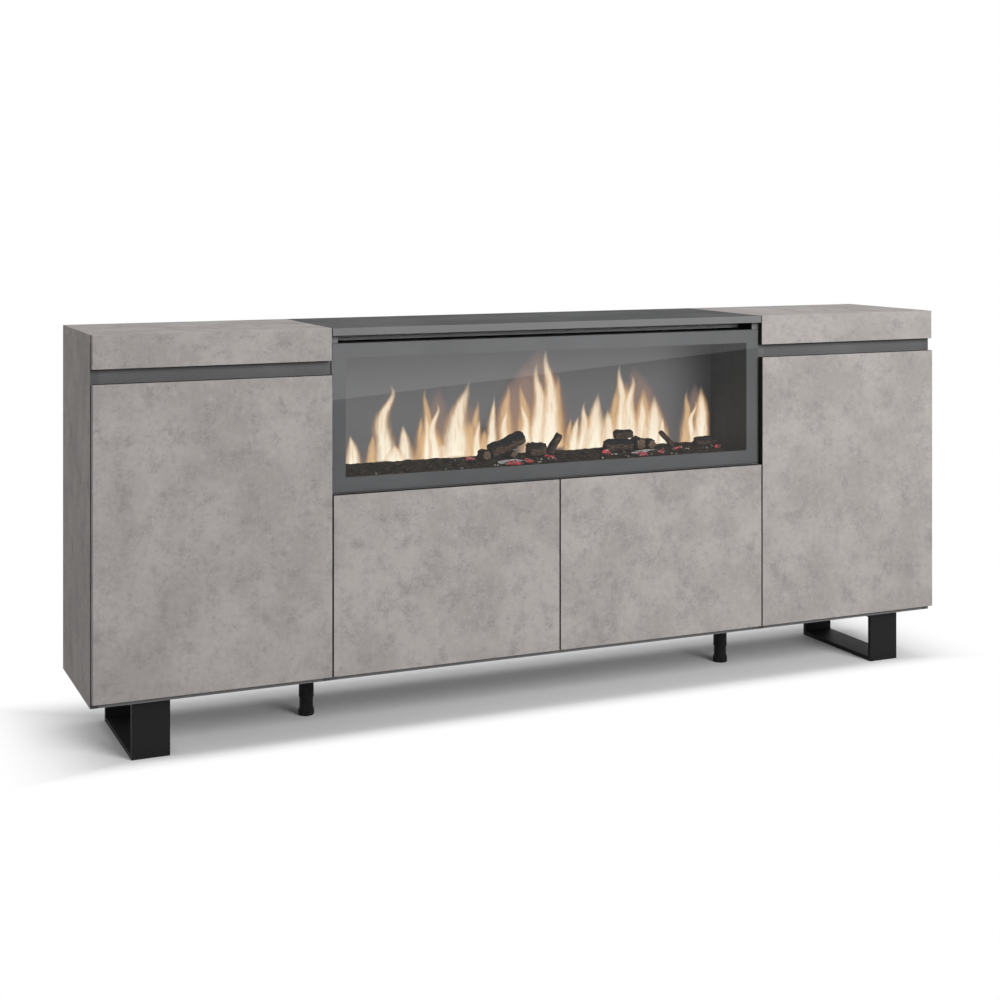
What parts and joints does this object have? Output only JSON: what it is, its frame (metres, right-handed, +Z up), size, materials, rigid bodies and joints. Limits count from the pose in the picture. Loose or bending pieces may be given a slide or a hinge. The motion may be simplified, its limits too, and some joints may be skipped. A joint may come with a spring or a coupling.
{
  "type": "fireplace sideboard",
  "caption": "Long low sideboard for a television with hinged doors at the sides and below, an electric fire behind glass in the middle, flat steel loop legs and screw feet.",
  "frame": {"origin": "on the floor under the middle of the cabinet's outline", "axes": "+X along the cabinet to the viewer's right, +Y from the doors to the back, +Z up"},
  "size_m": [2, 0.35, 0.842],
  "materials": {
    "concrete_laminate": "matt melamine with a cloudy cast-concrete print",
    "graphite_laminate": "matt graphite melamine",
    "hardboard_back": "thin painted fibreboard",
    "black_steel": "fine black powder coat",
    "black_plastic": "moulded black plastic",
    "hinge_steel": "nickel-plated pressed steel",
    "zinc_steel": "zinc-plated steel",
    "housing_steel": "black painted sheet steel",
    "bezel_steel": "satin graphite paint",
    "fire_glass": "polished clear toughened glass",
    "flame_screen": "smoked satin acrylic",
    "ember_resin": "moulded ember bed, lit from below",
    "log_bark": "charred bark",
    "lamp_board": "white circuit board with lamps",
    "bright_tabs": "bright sheet tabs on a steel shaft",
    "motor_steel": "zinc-plated motor can",
    "latch_plastic": "grey moulded plastic"
  },
  "bodies": {
    "carcass": {"connector_bolts": "zinc_steel", "ember_bed": "ember_resin", "fire_bezel": "bezel_steel", "fire_glass": "fire_glass", "fire_housing": "housing_steel", "fire_logs": "log_bark", "flame_screen": "flame_screen", "foot_sleeves": "black_plastic", "led_bar": "lamp_board", "left_back": "hardboard_back", "left_bottom": "graphite_laminate", "left_door_hinge_arms": "hinge_steel", "left_frieze": "concrete_laminate", "left_grip_rail": "graphite_laminate", "left_inner_panel": "graphite_laminate", "left_leg": "black_steel", "left_shelf": "graphite_laminate", "left_side_panel": "concrete_laminate", "left_top": "concrete_laminate", "leg_screws": "zinc_steel", "middle_back": "hardboard_back", "middle_bottom": "graphite_laminate", "middle_divider": "graphite_laminate", "middle_fire_shelf": "graphite_laminate", "middle_left_door_hinge_arms": "hinge_steel", "middle_left_panel": "graphite_laminate", "middle_right_door_hinge_arms": "hinge_steel", "middle_right_panel": "graphite_laminate", "middle_top": "graphite_laminate", "push_latch_bodies": "latch_plastic", "right_back": "hardboard_back", "right_bottom": "graphite_laminate", "right_door_hinge_arms": "hinge_steel", "right_frieze": "concrete_laminate", "right_grip_rail": "graphite_laminate", "right_inner_panel": "graphite_laminate", "right_leg": "black_steel", "right_shelf": "graphite_laminate", "right_side_panel": "concrete_laminate", "right_top": "concrete_laminate", "rotor_motor": "motor_steel", "shelf_pins": "zinc_steel", "vent_rail": "graphite_laminate"},
    "left_door": {"left_door": "concrete_laminate", "left_door_hinge_cups": "hinge_steel", "left_door_hinge_pins": "hinge_steel"},
    "right_door": {"right_door": "concrete_laminate", "right_door_hinge_cups": "hinge_steel", "right_door_hinge_pins": "hinge_steel"},
    "middle_left_door": {"middle_left_door": "concrete_laminate", "middle_left_door_hinge_cups": "hinge_steel", "middle_left_door_hinge_pins": "hinge_steel"},
    "middle_right_door": {"middle_right_door": "concrete_laminate", "middle_right_door_hinge_cups": "hinge_steel", "middle_right_door_hinge_pins": "hinge_steel"},
    "left_foot": {"left_foot": "black_plastic"},
    "right_foot": {"right_foot": "black_plastic"},
    "left_plunger": {"left_push_plunger": "latch_plastic"},
    "right_plunger": {"right_push_plunger": "latch_plastic"},
    "flicker_rotor": {"flicker_rotor": "bright_tabs"}
  },
  "joints": [
    {"name": "left_door_swing", "type": "hinge", "parent": "carcass", "child": "left_door", "pos_m": [-0.9915, -0.1685, 0.216], "axis": [0, 0, -1], "range_deg": [0, 95]},
    {"name": "right_door_swing", "type": "hinge", "parent": "carcass", "child": "right_door", "pos_m": [0.9915, -0.1685, 0.216], "axis": [0, 0, 1], "range_deg": [0, 95]},
    {"name": "middle_left_door_swing", "type": "hinge", "parent": "carcass", "child": "middle_left_door", "pos_m": [-0.5065, -0.1685, 0.216], "axis": [0, 0, -1], "range_deg": [0, 95]},
    {"name": "middle_right_door_swing", "type": "hinge", "parent": "carcass", "child": "middle_right_door", "pos_m": [0.5065, -0.1685, 0.216], "axis": [0, 0, 1], "range_deg": [0, 95]},
    {"name": "left_foot_height", "type": "slide", "parent": "carcass", "child": "left_foot", "axis": [0, 0, 1], "range_m": [-0.01, 0.015]},
    {"name": "right_foot_height", "type": "slide", "parent": "carcass", "child": "right_foot", "axis": [0, 0, 1], "range_m": [-0.01, 0.015]},
    {"name": "left_latch_push", "type": "slide", "parent": "carcass", "child": "left_plunger", "axis": [0, 1, 0], "range_m": [0, 0.0024], "stiffness_N_per_m": 900},
    {"name": "right_latch_push", "type": "slide", "parent": "carcass", "child": "right_plunger", "axis": [0, 1, 0], "range_m": [0, 0.0024], "stiffness_N_per_m": 900},
    {"name": "flicker_rotor_spin", "type": "hinge", "parent": "carcass", "child": "flicker_rotor", "pos_m": [0, 0.069, 0.5365], "axis": [1, 0, 0], "continuous": true}
  ]
}
